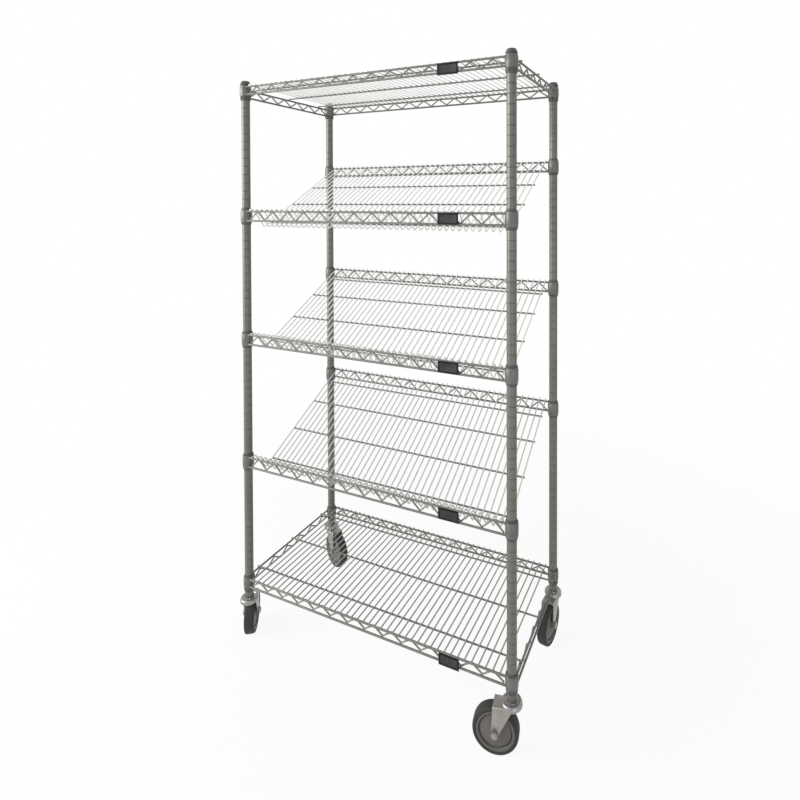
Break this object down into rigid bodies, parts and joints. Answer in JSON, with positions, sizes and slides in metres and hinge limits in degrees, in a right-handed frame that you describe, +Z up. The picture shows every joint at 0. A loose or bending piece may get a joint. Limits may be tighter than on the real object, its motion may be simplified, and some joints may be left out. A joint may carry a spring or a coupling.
{
  "type": "bakery bread rack",
  "caption": "Mobile wire bread rack: grooved posts carry level shelves at top and bottom and sloping shelves with hooked front edges between them, on swivel casters.",
  "frame": {"origin": "on the floor, midway between the four post axes", "axes": "+Z up, +X to the right along the long side seen from the front, +Y from front to back"},
  "size_m": [0.9579, 0.4669, 1.741],
  "materials": {
    "post_steel": "plated steel tube, slightly dull",
    "wire_steel": "plated steel wire",
    "collar_steel": "plated steel, satin",
    "cap_plastic": "moulded",
    "sleeve_plastic": "moulded",
    "insert_zinc": "zinc plated",
    "label_plastic": "smooth moulded",
    "caster_bright": "bright plated",
    "caster_plate": "plated pressed steel",
    "caster_bolt": "zinc plated",
    "wheel_core": "moulded",
    "wheel_tyre": "smooth tread"
  },
  "bodies": {
    "rack": {"post_fl": "post_steel", "post_fr": "post_steel", "post_bl": "post_steel", "post_br": "post_steel", "post_caps": "cap_plastic", "post_inserts": "insert_zinc", "collars_bottom": "collar_steel", "sleeves_bottom": "sleeve_plastic", "rails_bottom": "wire_steel", "zigzags_bottom": "wire_steel", "surface_bottom": "wire_steel", "cross_wires_bottom": "wire_steel", "collars_slope_low": "collar_steel", "sleeves_slope_low": "sleeve_plastic", "rails_slope_low": "wire_steel", "zigzags_slope_low": "wire_steel", "surface_slope_low": "wire_steel", "cross_wires_slope_low": "wire_steel", "collars_slope_mid": "collar_steel", "sleeves_slope_mid": "sleeve_plastic", "rails_slope_mid": "wire_steel", "zigzags_slope_mid": "wire_steel", "surface_slope_mid": "wire_steel", "cross_wires_slope_mid": "wire_steel", "collars_slope_high": "collar_steel", "sleeves_slope_high": "sleeve_plastic", "rails_slope_high": "wire_steel", "zigzags_slope_high": "wire_steel", "surface_slope_high": "wire_steel", "cross_wires_slope_high": "wire_steel", "collars_top": "collar_steel", "sleeves_top": "sleeve_plastic", "rails_top": "wire_steel", "zigzags_top": "wire_steel", "surface_top": "wire_steel", "cross_wires_top": "wire_steel", "label_plates": "label_plastic", "caster_fl_stem": "caster_bright", "caster_fr_stem": "caster_bright", "caster_bl_stem": "caster_bright", "caster_br_stem": "caster_bright"},
    "swivel_fl": {"caster_fl_fork": "caster_plate", "caster_fl_axle": "caster_bolt"},
    "wheel_fl": {"caster_fl_core": "wheel_core", "caster_fl_tyre": "wheel_tyre"},
    "swivel_fr": {"caster_fr_fork": "caster_plate", "caster_fr_axle": "caster_bolt"},
    "wheel_fr": {"caster_fr_core": "wheel_core", "caster_fr_tyre": "wheel_tyre"},
    "swivel_bl": {"caster_bl_fork": "caster_plate", "caster_bl_axle": "caster_bolt"},
    "wheel_bl": {"caster_bl_core": "wheel_core", "caster_bl_tyre": "wheel_tyre"},
    "swivel_br": {"caster_br_fork": "caster_plate", "caster_br_axle": "caster_bolt"},
    "wheel_br": {"caster_br_core": "wheel_core", "caster_br_tyre": "wheel_tyre"}
  },
  "joints": [
    {"name": "swivel_turn_fl", "type": "hinge", "parent": "rack", "child": "swivel_fl", "pos_m": [-0.432, -0.203, 0.122], "axis": [0, 0, 1], "continuous": true},
    {"name": "wheel_spin_fl", "type": "hinge", "parent": "swivel_fl", "child": "wheel_fl", "pos_m": [-0.45494, -0.17023, 0.059], "axis": [-0.8192, -0.5736, 0], "continuous": true},
    {"name": "swivel_turn_fr", "type": "hinge", "parent": "rack", "child": "swivel_fr", "pos_m": [0.432, -0.203, 0.122], "axis": [0, 0, 1], "continuous": true},
    {"name": "wheel_spin_fr", "type": "hinge", "parent": "swivel_fr", "child": "wheel_fr", "pos_m": [0.39261, -0.20995, 0.059], "axis": [0.1736, -0.9848, 0], "continuous": true},
    {"name": "swivel_turn_bl", "type": "hinge", "parent": "rack", "child": "swivel_bl", "pos_m": [-0.432, 0.203, 0.122], "axis": [0, 0, 1], "continuous": true},
    {"name": "wheel_spin_bl", "type": "hinge", "parent": "swivel_bl", "child": "wheel_bl", "pos_m": [-0.39546, 0.18673, 0.059], "axis": [0.4067, 0.9135, 0], "continuous": true},
    {"name": "swivel_turn_br", "type": "hinge", "parent": "rack", "child": "swivel_br", "pos_m": [0.432, 0.203, 0.122], "axis": [0, 0, 1], "continuous": true},
    {"name": "wheel_spin_br", "type": "hinge", "parent": "swivel_br", "child": "wheel_br", "pos_m": [0.42713, 0.1633, 0.059], "axis": [0.9925, -0.1219, 0], "continuous": true}
  ]
}
